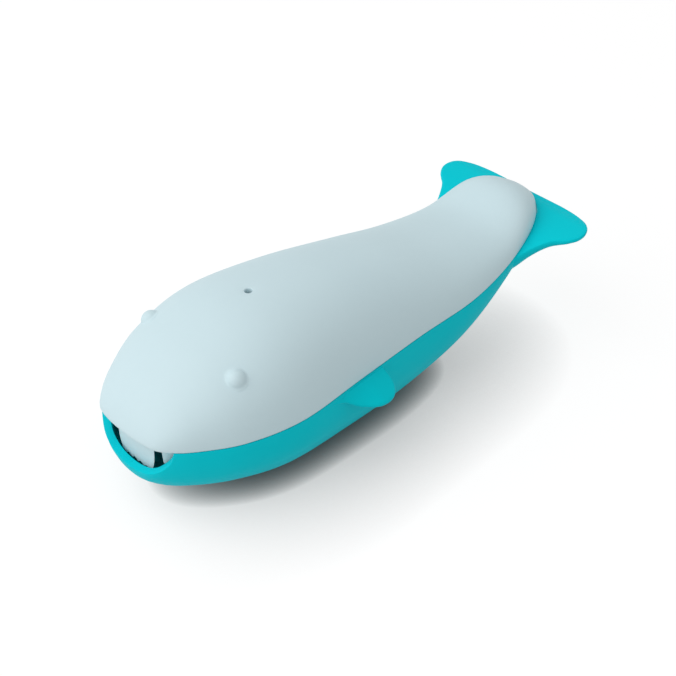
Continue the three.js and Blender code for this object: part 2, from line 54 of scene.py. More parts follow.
# %% [markdown]
# The body is one smooth form that both shells share. It could be sculpted, but the solids come from
# thirteen cross-sections, so the same sections are used here: where each one lies along the body, half its
# width, the height of the seam, and how far the back rises and the belly drops from it. A curve through
# each column fills in between. At the nose and tail the curves run on as their own mirror image, which
# makes both ends round instead of pointed.

# %% The body's sections and the curves through them
MM = 0.001
SECTIONS = np.array([
    (-78.5, 0, 27.5, 0, 0),
    (-77.5, 10.5, 27.5, 3, 12.5),
    (-74.5, 15.5, 27.5, 7.5, 16.5),
    (-68, 20.5, 27.5, 13.5, 19.5),
    (-56.5, 26, 27.5, 20, 22.5),
    (-39.5, 28.5, 27.5, 25, 26),
    (-16.5, 26, 28, 24, 28.5),
    (9.5, 23, 28.5, 19, 28.5),
    (32.5, 21.5, 29.5, 12.5, 22.5),
    (50.5, 18.5, 32.5, 8.5, 13.5),
    (64, 14.8, 37.5, 9.2, 6),
    (73, 8.2, 39.5, 4.4, 1.8),
    (76.6, 0, 39.5, 0, 0),
]) * MM
LAST = len(SECTIONS) - 1
STEPS_PER_SECTION = 100
STATIONS = np.linspace(0, LAST, STEPS_PER_SECTION * LAST + 1)


def between(a, b, c, d, share):
    bend = 2 * a - 5 * b + 4 * c - d + share * (3 * (b - c) + d - a)
    return b + share / 2 * (c - a + share * bend)


def curve_through(values, sign):
    knots = np.concatenate(([sign * values[1]], values, [sign * values[-2]]))
    before = np.minimum(STATIONS.astype(int), LAST - 1)
    return between(*(knots[before + step] for step in range(4)), STATIONS - before)


def run_along(path):
    return np.concatenate(([0], np.cumsum(np.linalg.norm(np.diff(path, axis=0), axis=1))))


def at(x, values):
    return np.interp(x, ALONG, values)


ALONG, SEAM = (curve_through(SECTIONS[:, column], sign=1) for column in (0, 2))
HALF, RISE, DROP = (curve_through(SECTIONS[:, column], sign=-1) for column in (1, 3, 4))
ROUND = run_along(np.column_stack((ALONG, HALF)))
print("body from", ALONG[0], "to", ALONG[-1], "and", 2 * HALF.max(), "wide")

# %% [markdown]
# Seen from above, each shell is a sheet stretched over the seam's outline. Its height over any point comes
# from the rounded cross-section there. The two shells keep a thin gap at the seam, half on each side.

# %% Heights of the two shells over a point seen from above
POWER = 2.3
WALL = 2.2 * MM
SEAM_GAP = 0.14 * MM
HALF_GAP = SEAM_GAP / 2
LEAST_HALF = 1e-6 * MM


def rounded(share):
    return (1 - share ** POWER) ** (1 / POWER)


def crown(x, y):
    return rounded(np.minimum(1.0, np.abs(y) / np.maximum(at(x, HALF), LEAST_HALF)))


def back_height(x, y, edge=0.0):
    return at(x, SEAM) + HALF_GAP + np.maximum(0.0, at(x, RISE) - HALF_GAP) * crown(x, y)


def belly_height(x, y, edge=0.0):
    depth = HALF_GAP + np.maximum(0.0, at(x, DROP) - HALF_GAP) * crown(x, y)
    return np.maximum(0.0, at(x, SEAM) - depth)


def seam_point(share, side):
    reach = share * ROUND[-1]
    return Vector((np.interp(reach, ROUND, ALONG), side * np.interp(reach, ROUND, HALF)))


print("back's top:", max(back_height(x, 0) for x in ALONG))

# %% [markdown]
# A sheet with clean rows round its edge takes a bevel well. So each skin starts as a grid that is bent
# round into a ring between two closed rows of points, an inner and an outer one. Its rows keep an even
# distance along the surface, so none is too thin where the shells turn steep. The height of a skin may also
# depend on how far a point is from the outer edge, which gives a pad its round edge later.

# %% Skins bent from a grid
ROW_SAMPLES = 240
WELD = 1e-7


def even_rows(inner, outer, height, rings):
    reach = np.sin(np.linspace(0, math.pi / 2, ROW_SAMPLES))
    x = inner.x + (outer.x - inner.x) * reach
    y = inner.y + (outer.y - inner.y) * reach
    edge = (outer - inner).length * (1 - reach)
    path = np.column_stack((x, y, height(x, y, edge)))
    run = run_along(path)
    places = np.linspace(0, run[-1], rings + 1)
    return np.column_stack([np.interp(places, run, path[:, axis]) for axis in range(3)])


def ring_skin(inner, outer, height, rings, upwards):
    bm = bmesh.new()
    count = len(outer)
    columns = [even_rows(start, end, height, rings) for start, end in zip(inner, outer)]
    grid = bmesh.ops.create_grid(bm, x_segments=count, y_segments=rings, size=1)
    for vert in grid["verts"]:
        column = round((vert.co.x + 1) / 2 * count) % count
        vert.co = columns[column][round((vert.co.y + 1) / 2 * rings)]
    bmesh.ops.remove_doubles(bm, verts=bm.verts, dist=WELD)
    if upwards:
        bmesh.ops.reverse_faces(bm, faces=bm.faces)
    return bm


print("rows are spaced on", ROW_SAMPLES, "samples")

# %% [markdown]
# No edge of a moulding is quite sharp: a small round edge catches the light along it. A modifier could round
# every corner at once, but a skin has its rim and its holes, which want rounds of their own size. So the
# edges of a rim are found while it is still open, and are bevelled once the skin has its thickness.

# %% Open rims and round edges
ROUND_SEGMENTS = 3


def open_edges(bm):
    return [edge for edge in bm.edges if edge.is_boundary]


def round_edges(bm, edges, radius, segments=ROUND_SEGMENTS):
    bmesh.ops.bevel(bm, geom=edges, offset=radius, offset_type="OFFSET", segments=segments,
                    profile=0.5, affect="EDGES", material=-1, clamp_overlap=True)


def corners_of(edges):
    return {vert for edge in edges for vert in edge.verts}


print("a rim's round edge has", ROUND_SEGMENTS, "rows of faces")

# %% [markdown]
# The back shell is one sheet from the blowhole out to the seam, thickened inwards. Starting the grid at the
# blowhole hides the place where all its rows meet. The rim gets a small round edge, which catches the light
# along the whole seam. At the tail the rim dips a little into the opening in the flukes, so that no light
# shows under it from the side.

# %% The back shell's skin with its blowhole
ROWS_ROUND = 200
SKIN_RINGS = 46
BLOWHOLE_STATION = 5.25
BLOWHOLE_RADIUS = 1.1 * MM
BLOWHOLE_MOUTH = 2.1 * MM
BLOWHOLE_FLARE = 0.8 * MM
BLOWHOLE_ROUND = 0.3 * MM
RIM_ROUND = 0.35 * MM
TAIL_TUCK = 0.8 * MM
TUCK_START = 70.2 * MM
TUCK_LENGTH = 1.2 * MM

blowhole = Vector((float(np.interp(BLOWHOLE_STATION, STATIONS, ALONG)), 0))


def clamped(share):
    return min(1.0, max(0.0, share))


def seam_outline(count):
    turns = [2 * step / count for step in range(count)]
    return [seam_point(1 - abs(1 - turn), -1 if turn < 1 else 1) for turn in turns]


def round_blowhole(spot, radius):
    return blowhole + (spot - blowhole).normalized() * radius


def at_blowhole(edge):
    return (edge.verts[0].co.xy - blowhole).length < 2 * BLOWHOLE_MOUTH


def is_upright(edge):
    return abs(edge.verts[0].co.z - edge.verts[1].co.z) > WALL / 2


def narrow_blowhole(bm, hole_top):
    walls = [edge for vert in hole_top for edge in vert.link_edges if is_upright(edge)]
    cut = bmesh.ops.subdivide_edges(bm, edges=walls, cuts=1)
    throat = {item for item in cut["geom_inner"] if isinstance(item, bmesh.types.BMVert)}
    beside = {edge.other_vert(vert) for vert in throat for edge in vert.link_edges}
    for vert in throat | (beside - hole_top):
        vert.co.xy = round_blowhole(vert.co.xy, BLOWHOLE_RADIUS)
    for vert in throat:
        vert.co.z = back_height(*blowhole) - BLOWHOLE_FLARE


def back_skin():
    rim = seam_outline(ROWS_ROUND)
    mouth = [round_blowhole(spot, BLOWHOLE_MOUTH) for spot in rim]
    bm = ring_skin(mouth, rim, back_height, SKIN_RINGS, upwards=True)
    hole_edges = [edge for edge in open_edges(bm) if at_blowhole(edge)]
    rim_edges = [edge for edge in open_edges(bm) if not at_blowhole(edge)]
    hole_top = corners_of(hole_edges)
    for vert in corners_of(rim_edges):
        vert.co.z -= TAIL_TUCK * clamped((vert.co.x - TUCK_START) / TUCK_LENGTH)
    bmesh.ops.solidify(bm, geom=bm.faces[:], thickness=WALL)
    narrow_blowhole(bm, hole_top)
    round_edges(bm, rim_edges, RIM_ROUND)
    round_edges(bm, hole_edges, BLOWHOLE_ROUND)
    return bm


back_part = back_skin()
print("back skin:", len(back_part.faces), "faces")

# %% [markdown]
# The eyes are small domes on the brow, with a soft foot where they grow out of the shell. Each is a profile
# spun round once, then stood on the shell's own slope.

# %% Eyes
EYE_STATION = 4.15
EYE_TURN = math.radians(48)
EYE_RADIUS = 2.9 * MM
EYE_PROUD = 1.8 * MM
FOOT_BEND = 0.25 * MM
FOOT_WIDTH = 0.75 * MM
FOOT_HEIGHT = 0.12 * MM
FOOT_SINK = 0.2 * MM
EYE_STEPS = 9
EYE_SIDES = 36
SLOPE_STEP = 0.5 * MM
LOOSE_WELD = 1e-6


def brow_point(side):
    x = float(np.interp(EYE_STATION, STATIONS, ALONG))
    y = side * at(x, HALF) * math.cos(EYE_TURN) ** (2 / POWER)
    return Vector((x, y, back_height(x, y)))


def brow_slope(spot):
    x, y = spot.xy
    along = back_height(x + SLOPE_STEP, y) - back_height(x - SLOPE_STEP, y)
    across = back_height(x, y + SLOPE_STEP) - back_height(x, y - SLOPE_STEP)
    return Vector((-along, -across, 2 * SLOPE_STEP)).normalized()


def eye_profile():
    sink = EYE_RADIUS - EYE_PROUD
    widest = math.acos(sink / EYE_RADIUS)
    turns = [widest * step / EYE_STEPS for step in range(EYE_STEPS)]
    dome = [(EYE_RADIUS * math.sin(turn), EYE_RADIUS * math.cos(turn) - sink) for turn in turns]
    base = EYE_RADIUS * math.sin(widest)
    foot = base + FOOT_WIDTH
    soft_foot = [(base, FOOT_HEIGHT), (base + FOOT_BEND, 0), (foot, -FOOT_SINK)]
    return dome + soft_foot + [(foot, -WALL / 2), (0, -WALL / 2)]


def eye(side):
    bm = bmesh.new()
    verts = [bm.verts.new((radius, 0, height)) for radius, height in eye_profile()]
    edges = [bm.edges.new(pair) for pair in zip(verts, verts[1:])]
    bmesh.ops.spin(bm, geom=verts + edges, cent=(0, 0, 0), axis=(0, 0, 1), angle=2 * math.pi,
                   steps=EYE_SIDES, use_merge=True)
    bmesh.ops.remove_doubles(bm, verts=bm.verts, dist=LOOSE_WELD)
    bmesh.ops.recalc_face_normals(bm, faces=bm.faces)
    spot = brow_point(side)
    stand = brow_slope(spot).to_track_quat("Z", "Y").to_matrix().to_4x4()
    bmesh.ops.transform(bm, matrix=Matrix.Translation(spot) @ stand, verts=bm.verts)
    return bm


eye_parts = [eye(-1), eye(1)]
print("eyes at", [tuple(round(c, 4) for c in brow_point(side)) for side in (-1, 1)])

# %% [markdown]
# Below its rim the back carries a skirt that reaches down inside the belly, so the two shells lap. It shows
# beside the flap in the mouth. It is a closed profile run along the seam, once for each side, and it stops
# short of the mouth and of the tail.

# %% The skirt that laps into the belly
LAP_GAP = 0.6 * MM
SKIRT_WALL = 1.6 * MM
SKIRT_DEPTH = 7 * MM
SKIRT_END = 44 * MM
SKIRT_EDGE = 0.3 * MM
SKIRT_ROWS = 90
RIM_HEIGHT = 2.5 * MM
MOUTH_ROOM = 10.8 * MM
SHARES = np.linspace(0, 1, 400)[2:-2]
RUN_STEP = 0.002

outside = WALL + LAP_GAP
inside = outside + SKIRT_WALL
SKIRT_PROFILE = (
    (outside, -SKIRT_DEPTH + SKIRT_EDGE),
    (outside + SKIRT_EDGE, -SKIRT_DEPTH),
    (inside - SKIRT_EDGE, -SKIRT_DEPTH),
    (inside, -SKIRT_DEPTH + SKIRT_EDGE),
    (inside, RIM_HEIGHT),
    (WALL / 2, RIM_HEIGHT),
    (WALL / 2, 2 * SEAM_GAP),
    (outside, 2 * SEAM_GAP),
)


def mirrored(bm):
    whole = bm.verts[:] + bm.edges[:] + bm.faces[:]
    bmesh.ops.mirror(bm, geom=whole, matrix=Matrix.Identity(4), merge_dist=0, axis="Y")
    bmesh.ops.recalc_face_normals(bm, faces=bm.faces)
    return bm


def skirt_point(share, inset, height):
    spot = seam_point(share, 1)
    run = seam_point(share + RUN_STEP, 1) - seam_point(share - RUN_STEP, 1)
    inwards = Vector((run.y, -run.x)).normalized()
    depth = clamped(-height / at(spot.x, DROP))
    spot += inwards * (inset + at(spot.x, HALF) * (1 - rounded(depth)))
    return Vector((spot.x, spot.y, at(spot.x, SEAM) + height))


def skirt():
    start = next(share for share in SHARES if skirt_point(share, outside, 0).y > MOUTH_ROOM)
    end = next(share for share in SHARES if seam_point(share, 1).x > SKIRT_END)
    bm = bmesh.new()
    sides = len(SKIRT_PROFILE)
    grid = bmesh.ops.create_grid(bm, x_segments=SKIRT_ROWS, y_segments=sides, size=1)
    for vert in grid["verts"]:
        share = start + (end - start) * (vert.co.x + 1) / 2
        inset, height = SKIRT_PROFILE[round((vert.co.y + 1) / 2 * sides) % sides]
        vert.co = skirt_point(share, inset, height)
    bmesh.ops.remove_doubles(bm, verts=bm.verts, dist=WELD)
    bmesh.ops.holes_fill(bm, edges=open_edges(bm), sides=0)
    bmesh.ops.recalc_face_normals(bm, faces=bm.faces)
    return mirrored(bm)


skirt_part = skirt()
print("skirt:", len(skirt_part.faces), "faces")

# %% [markdown]
# Inside the back are the parts that hold others. Each is a plain block or post whose top is moved up into
# the roof above it, so that it grows out of the shell, and whose corners are softened.

# %% Blocks and posts that grow into the roof
SHARP = math.radians(38)
POST_RADIUS = 3 * MM
ROD_SIDES = 40
SMALL_ROUND = 0.25 * MM


def sharp_corners(bm):
    return [edge for edge in bm.edges if edge.is_manifold and edge.calc_face_angle() > SHARP]


def block(low, high):
    bm = bmesh.new()
    bmesh.ops.create_cube(bm, size=1)
    low, high = Vector(low), Vector(high)
    bmesh.ops.scale(bm, vec=high - low, verts=bm.verts)
    bmesh.ops.translate(bm, vec=(low + high) / 2, verts=bm.verts)
    return bm


def rod(radius, length):
    bm = bmesh.new()
    bmesh.ops.create_cone(bm, cap_ends=True, segments=ROD_SIDES, radius1=radius, radius2=radius,
                          depth=length)
    return bm


def upright_post(x, low, high):
    bm = rod(POST_RADIUS, high - low)
    bmesh.ops.translate(bm, vec=(x, 0, (low + high) / 2), verts=bm.verts)
    return bm


def into_roof(bm):
    heights = [vert.co.z for vert in bm.verts]
    middle = (min(heights) + max(heights)) / 2
    for vert in bm.verts:
        if vert.co.z > middle:
            vert.co.z = back_height(vert.co.x, vert.co.y) - WALL / 2
    round_edges(bm, sharp_corners(bm), SMALL_ROUND, segments=2)
    return bm


print("corners over", round(math.degrees(SHARP)), "degrees are softened")

# %% [markdown]
# There are two ears for the flap's pin, two posts for the float's screws, and two cheeks for the hinge pin.
# Each stands where the solids of its pin or screw are, so their boxes give its place.

# %% Ears, posts and hinge cheeks inside the back
BARREL = 2.1 * MM
FIT_GAP = 0.3 * MM
CHEEK_INNER = 2.8 * MM
CHEEK_BEFORE = 3 * MM
CHEEK_BEHIND = 1.3 * MM
CHEEK_BELOW = 0.6 * MM
ENDS = ("front", "rear")

flap_low, flap_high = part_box("mouth_flap")
pin_low, pin_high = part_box("flap_pin")
pin = (pin_low + pin_high) / 2
hinge_low, hinge_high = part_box("hinge_pin")
hinge = (hinge_low + hinge_high) / 2


def screw_place(name):
    screw_low, screw_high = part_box(name)
    return (screw_low.x + screw_high.x) / 2


def flap_ears():
    low = (pin.x - BARREL, flap_high.y + FIT_GAP, pin.z - BARREL)
    high = (pin.x + BARREL, pin_high.y, pin.z + BARREL)
    return mirrored(into_roof(block(low, high)))


def float_posts():
    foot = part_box("float_strap")[1].z + FIT_GAP
    places = [screw_place("float_screw_" + end) for end in ENDS]
    return [into_roof(upright_post(x, foot, foot + WALL)) for x in places]


def hinge_cheeks():
    low = (hinge.x - CHEEK_BEFORE, CHEEK_INNER, hinge.z - CHEEK_BELOW)
    high = (hinge.x + CHEEK_BEHIND, hinge_high.y, hinge.z)
    return mirrored(into_roof(block(low, high)))


holders = [flap_ears(), *float_posts(), hinge_cheeks()]
print("holders:", [len(holder.faces) for holder in holders], "faces")

# %% [markdown]
# A finish is a small net of nodes. Writing it as sums keeps it readable: a Wire stands for one socket, and
# adding, multiplying or raising wires puts in the Math nodes. Every other node comes from one function.

# %% Wires
class Wire:
    def __init__(self, tree, socket):
        self.tree = tree
        self.socket = socket

    def math(self, operation, first, second):
        return add_node(self.tree, "ShaderNodeMath", {"operation": operation}, {0: first, 1: second})

    def __add__(self, other):
        return self.math("ADD", self, other)

    __radd__ = __add__

    def __mul__(self, other):
        return self.math("MULTIPLY", self, other)

    __rmul__ = __mul__

    def __pow__(self, other):
        return self.math("POWER", self, other)

    def __rpow__(self, other):
        return self.math("POWER", other, self)

    def most(self, other):
        return self.math("MAXIMUM", self, other)


def add_node(tree, kind, settings, sockets, output=0):
    node = tree.nodes.new(kind)
    for name, value in settings.items():
        setattr(node, name, value)
    for name, value in sockets.items():
        if isinstance(value, Wire):
            tree.links.new(value.socket, node.inputs[name])
        else:
            node.inputs[name].default_value = value
    return Wire(tree, node.outputs[output]) if node.outputs else None


print("operators on wires: + * **")

# %% [markdown]
# Every finish here needs the same few nodes: a place on the piece, a speckle over it, a blend between two
# colours, a bump, and the surface itself. The place is in the piece's own coordinates, so that a pattern
# rides along when the piece moves. A Mix node has its colours behind sockets of the same names for numbers
# and vectors, so they are called by their place in the row.

# %% Nodes that the finishes share
FIRST_COLOUR, SECOND_COLOUR, MIXED_COLOUR = 6, 7, 2


def new_finish(name):
    material = bpy.data.materials.new(name)
    material.use_nodes = True
    material.node_tree.nodes.clear()
    return material, material.node_tree


def object_place(tree):
    return add_node(tree, "ShaderNodeTexCoord", {}, {}, "Object")


def speckle(tree, place, per_metre, detail=2.0):
    sockets = {"Vector": place, "Scale": per_metre, "Detail": detail}
    return add_node(tree, "ShaderNodeTexNoise", {}, sockets, "Fac")


def blend_colours(tree, share, first, second):
    sockets = {"Factor": share, FIRST_COLOUR: (*first, 1), SECOND_COLOUR: (*second, 1)}
    return add_node(tree, "ShaderNodeMix", {"data_type": "RGBA"}, sockets, MIXED_COLOUR)


def bumps(tree, height, depth, strength):
    sockets = {"Height": height, "Distance": depth, "Strength": strength}
    return add_node(tree, "ShaderNodeBump", {}, sockets)


def surface(tree, sockets):
    shader = add_node(tree, "ShaderNodeBsdfPrincipled", {}, sockets)
    add_node(tree, "ShaderNodeOutputMaterial", {}, {"Surface": shader})


print("materials so far:", len(bpy.data.materials))

# %% [markdown]
# Both plastics are moulded with a fine matt grain. Up close such a skin has tiny pits, and its gloss and
# colour drift a little over the part. The grain is real bump at a fraction of a millimetre, and the drift
# is a slow cloud over a few centimetres.

# %% Moulded plastics
CLOUDS_PER_METRE = 28.0
MOTTLES_PER_METRE = 420.0
GRAINS_PER_METRE = 2600.0
MOTTLE_SHARE = 0.3
MOTTLE_RELIEF = 0.4
CLOUD_GLOSS = 0.06
GRAIN_GLOSS = 0.10
GRAIN_STRENGTH = 0.35
PLASTIC_IOR = 1.46
PALE_COLOURS = (0.60, 0.76, 0.81), (0.64, 0.80, 0.845)
TEAL_COLOURS = (0.000, 0.60, 0.69), (0.002, 0.64, 0.73)


def moulded_plastic(name, colours, roughness, shine, grain_depth):
    material, tree = new_finish(name)
    place = object_place(tree)
    cloud = speckle(tree, place, CLOUDS_PER_METRE)
    mottle = speckle(tree, place, MOTTLES_PER_METRE)
    grain = speckle(tree, place, GRAINS_PER_METRE)
    drift = cloud * (1 - MOTTLE_SHARE) + mottle * MOTTLE_SHARE
    smoothest = roughness - (CLOUD_GLOSS + GRAIN_GLOSS) / 2
    surface(tree, {
        "Base Color": blend_colours(tree, drift, *colours),
        "Roughness": cloud * CLOUD_GLOSS + grain * GRAIN_GLOSS + smoothest,
        "Normal": bumps(tree, grain + mottle * MOTTLE_RELIEF, grain_depth, GRAIN_STRENGTH),
        "IOR": PLASTIC_IOR,
        "Specular IOR Level": shine,
    })
    return material


pale = moulded_plastic("pale_plastic", PALE_COLOURS, roughness=0.55, shine=0.35, grain_depth=0.03 * MM)
teal = moulded_plastic("teal_plastic", TEAL_COLOURS, roughness=0.50, shine=0.05, grain_depth=0.02 * MM)
print("plastics:", pale.name, teal.name)

# %% [markdown]
# A moulding is finished when its parts are in one mesh that shades smoothly, apart from its sharp corners,
# and wears its plastic. It then rides on its body and takes the place of its solid.

# %% The finished back
def mesh_from(bm, name):
    mesh = bpy.data.meshes.new(name)
    bm.to_mesh(mesh)
    bm.free()
    return mesh


def gather(*parts):
    whole = bmesh.new()
    for part in parts:
        mesh = mesh_from(part, "part")
        whole.from_mesh(mesh)
        bpy.data.meshes.remove(mesh)
    return whole


def put_in_scene(name, data):
    thing = bpy.data.objects.new(name, data)
    bpy.context.scene.collection.objects.link(thing)
    return thing


def finished(name, bm, body, slot, finish, *nodes):
    bm.normal_update()
    for face in bm.faces:
        face.smooth = True
    for edge in sharp_corners(bm):
        edge.smooth = False
    mesh = mesh_from(bm, name)
    mesh.materials.append(finish)
    piece = put_in_scene(name, mesh)
    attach(piece, body)
    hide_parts(*nodes)
    print(name, "has", len(mesh.polygons), "faces")


finished(
    "back_moulding", gather(back_part, *eye_parts, skirt_part, *holders),
    "back", "pale_plastic", pale, "back_shell",
)

# %% [markdown]
# The belly is made like the back, turned over. Its rim follows the seam along the sides, dips round the
# mouth to leave the lip, and at the tail runs in under the flukes. Giving the rim its whole outline at the
# start keeps one clean row of faces round the lip for the bevel.

# %% The belly's skin with the mouth's lip
NOTCH_HALF_WIDTH = 16 * MM
NOTCH_DEPTH = 11.3 * MM
FLUKE_ROOT = 59 * MM
FLUKE_COVER = 62 * MM
RIM_UNDER_FLUKES = 3.2 * MM - HALF_GAP
LIP_ROUND = 0.5 * MM
LIP_ROWS, SIDE_ROWS, TAIL_ROWS = 22, 76, 14
WIDENING = 4 * STEPS_PER_SECTION
BELLY_MIDDLE = Vector((-5 * MM, 0))
HALVINGS = 50


def ease(share):
    share = clamped(share)
    return share * share * (3 - 2 * share)


def crossing(low, high, is_past):
    for _ in range(HALVINGS):
        middle = (low + high) / 2
        low, high = (low, middle) if is_past(middle) else (middle, high)
    return high


def front_of(y, height):
    def in_body(x):
        return at(x, HALF) > abs(y) and belly_height(x, y) <= height

    return crossing(ALONG[0], ALONG[WIDENING], in_body)


def lip_point(turn):
    y = -NOTCH_HALF_WIDTH * math.sin(turn)
    return Vector((front_of(y, SEAM[0] - NOTCH_DEPTH * math.cos(turn)), y))


def tail_point(x):
    dip = RIM_UNDER_FLUKES * ease((x - FLUKE_ROOT) / (FLUKE_COVER - FLUKE_ROOT))
    return Vector((x, -at(x, HALF) * rounded(clamped(dip / at(x, DROP)))))


def both_sides(half):
    return half + [Vector((spot.x, -spot.y)) for spot in reversed(half[1:-1])]


def belly_rim():
    lip = [lip_point(math.pi / 2 * step / LIP_ROWS) for step in range(LIP_ROWS)]
    corner = np.interp(NOTCH_HALF_WIDTH, HALF[:WIDENING], ROUND[:WIDENING])
    root = np.interp(FLUKE_ROOT, ALONG, ROUND)
    sides = [seam_point(reach / ROUND[-1], -1) for reach in np.linspace(corner, root, SIDE_ROWS)]
    end = next(x for x in ALONG if x > FLUKE_COVER and at(x, DROP) < RIM_UNDER_FLUKES)
    turns = [math.pi / 2 * step / TAIL_ROWS for step in range(1, TAIL_ROWS + 1)]
    tail = [tail_point(FLUKE_ROOT + (end - FLUKE_ROOT) * math.sin(turn)) for turn in turns]
    return both_sides(lip + sides + tail)


def belly_skin():
    rim = belly_rim()
    bm = ring_skin([BELLY_MIDDLE] * len(rim), rim, belly_height, SKIN_RINGS, upwards=False)
    rim_edges = open_edges(bm)
    bmesh.ops.solidify(bm, geom=bm.faces[:], thickness=WALL)
    round_edges(bm, rim_edges, LIP_ROUND)
    return bm


belly_part = belly_skin()
print("belly skin:", len(belly_part.faces), "faces")

# %% [markdown]
# The flukes and flippers are flat mouldings with a round edge all the way round. Such a pad is two skins,
# one above the other, that fall away near the outline until they meet. An outline is a smooth row of points
# through a few corners.

# %% Pads with a round edge
CURVE_STEPS = 40


def round_fall(edge, radius):
    from_middle = radius - np.minimum(edge, radius)
    return radius - np.sqrt(np.maximum(0.0, radius ** 2 - from_middle ** 2))


def round_pad(inner, outer, top, thickness, top_round, rings):
    def upper(x, y, edge):
        return top(x, y) - round_fall(edge, top_round)

    def lower(x, y, edge):
        return top(x, y) - thickness(x, y) + round_fall(edge, thickness(x, y) - top_round)

    above = ring_skin(inner, outer, upper, rings, upwards=True)
    below = ring_skin(inner, outer, lower, rings, upwards=False)
    bm = gather(above, below)
    bmesh.ops.remove_doubles(bm, verts=bm.verts, dist=LOOSE_WELD)
    if open_edges(bm):
        bmesh.ops.bridge_loops(bm, edges=open_edges(bm))
    bmesh.ops.recalc_face_normals(bm, faces=bm.faces)
    return bm


def smooth_row(points, count):
    knots = np.array([points[0], *points, points[-1]]) * MM
    shares = np.linspace(0, 1, CURVE_STEPS, endpoint=False)
    spans = [knots[step:step + 4] for step in range(len(points) - 1)]
    path = np.array([between(*span, share) for span in spans for share in shares] + [knots[-1]])
    run = run_along(path)
    places = np.linspace(0, run[-1], count)
    return [Vector((np.interp(p, run, path[:, 0]), np.interp(p, run, path[:, 1]))) for p in places]


def straight_row(points, steps):
    corners = [Vector(point) * MM for point in points]
    shares = [step / steps for step in range(1, steps + 1)]
    return [start.lerp(end, share) for start, end in zip(corners, corners[1:]) for share in shares]


print("curves have", CURVE_STEPS, "steps between two points")

# %% [markdown]
# The flukes are one form across the tail, with an opening in the middle for the end of the back to swing
# down into. They are a pad that reaches from that opening to the outline. It is thick in front, where it
# runs into the belly's sides, and thin at the tips.

# %% Flukes
FLUKE_EDGE = [
    (78.5, 0), (78.5, 8), (78.3, 17), (76.9, 24.4), (74, 28), (70.3, 28.9),
    (67.2, 27.1), (64, 23.2), (59.4, 20.2), (55.5, 18.6), (52, 17.4),
]
FLUKE_FRONT = [(52, 17.4), (57.5, 14), (57.5, 0)]
FLUKE_MIDDLE = Vector((72.8 * MM, 0))
FLUKE_ROOT_THICKNESS = 7.5 * MM
FLUKE_END_THICKNESS = 3.4 * MM
FLUKE_TIP_THICKNESS = 1.6 * MM
FLUKE_ROOT_HALF = 15 * MM
FLUKE_TIP_HALF = 28.9 * MM
FLUKE_TOP_ROUND = 0.6 * MM
FLUKE_GAP = SEAM_GAP / 3
FLUKE_EDGE_ROWS, FLUKE_FRONT_ROWS, FLUKE_RINGS = 110, 6, 36
FAIRING = (56 * MM, 70 * MM)
OPENING_FRONT = 70.4 * MM
OPENING_GAP = 0.15 * MM


def in_opening(spot):
    beside = at(spot.x - OPENING_GAP, HALF) + OPENING_GAP
    return OPENING_FRONT < spot.x < ALONG[-1] + OPENING_GAP and abs(spot.y) < beside


def opening_towards(spot):
    def past_opening(share):
        return not in_opening(FLUKE_MIDDLE.lerp(spot, share))

    return FLUKE_MIDDLE.lerp(spot, crossing(0.0, 1.0, past_opening))


def fluke_top(x, y):
    return at(x, SEAM) - FLUKE_GAP


def fluke_thickness(x, y):
    root = np.interp(x, FAIRING, (FLUKE_ROOT_THICKNESS, FLUKE_END_THICKNESS))
    share = np.clip((np.abs(y) - FLUKE_ROOT_HALF) / (FLUKE_TIP_HALF - FLUKE_ROOT_HALF), 0, 1)
    return root + (FLUKE_TIP_THICKNESS - root) * share


def flukes():
    edge = smooth_row(FLUKE_EDGE, FLUKE_EDGE_ROWS)
    outer = both_sides(edge + straight_row(FLUKE_FRONT, FLUKE_FRONT_ROWS))
    opening = [opening_towards(spot) for spot in outer]
    return round_pad(opening, outer, fluke_top, fluke_thickness, FLUKE_TOP_ROUND, FLUKE_RINGS)


fluke_part = flukes()
print("flukes:", len(fluke_part.faces), "faces")

# %% [markdown]
# A flipper is a rounded lobe under the seam on each side. It droops, and towards the front it twists down
# and runs out along the flank. It is a pad with a slight crown, turned into place about a line along the
# flank, and mirrored for the other side.

# %% Flippers
FLIPPER_EDGE = [
    (-6.8, 0), (-6.7, 5.6), (-9.1, 8.8), (-14, 9.1),
    (-19, 6.2), (-23.5, 2.4), (-28, 0.6), (-32, -0.3),
]
FLIPPER_MIDDLE = Vector((-14 * MM, 1 * MM))
FLIPPER_SINK = 1 * MM
FLIPPER_HEIGHT = 26.3 * MM
FLIPPER_DROOP = math.radians(33)
FLIPPER_TWIST = math.radians(42)
TWIST_START = -13 * MM
TWIST_LENGTH = 15 * MM
FLIPPER_THICKNESS = 2 * MM
FLIPPER_TOP_ROUND = 0.8 * MM
FLIPPER_CROWN = 0.7 * MM
CROWN_RADIUS = 10 * MM
FLIPPER_EDGE_ROWS, FLIPPER_ROOT_ROWS, FLIPPER_RINGS = 70, 12, 24


def flipper_top(x, y):
    away = np.hypot(x - FLIPPER_MIDDLE.x, y - FLIPPER_MIDDLE.y) / CROWN_RADIUS
    return FLIPPER_THICKNESS / 2 + FLIPPER_CROWN * (1 - np.minimum(1.0, away) ** 2)


def flipper_thickness(x, y):
    return np.full_like(x, FLIPPER_THICKNESS)


def at_flank(spot):
    root = Vector((0, at(spot.x, HALF) - FLIPPER_SINK, FLIPPER_HEIGHT))
    droop = FLIPPER_DROOP + FLIPPER_TWIST * ease((TWIST_START - spot.x) / TWIST_LENGTH)
    return root + Matrix.Rotation(-droop, 3, "X") @ spot


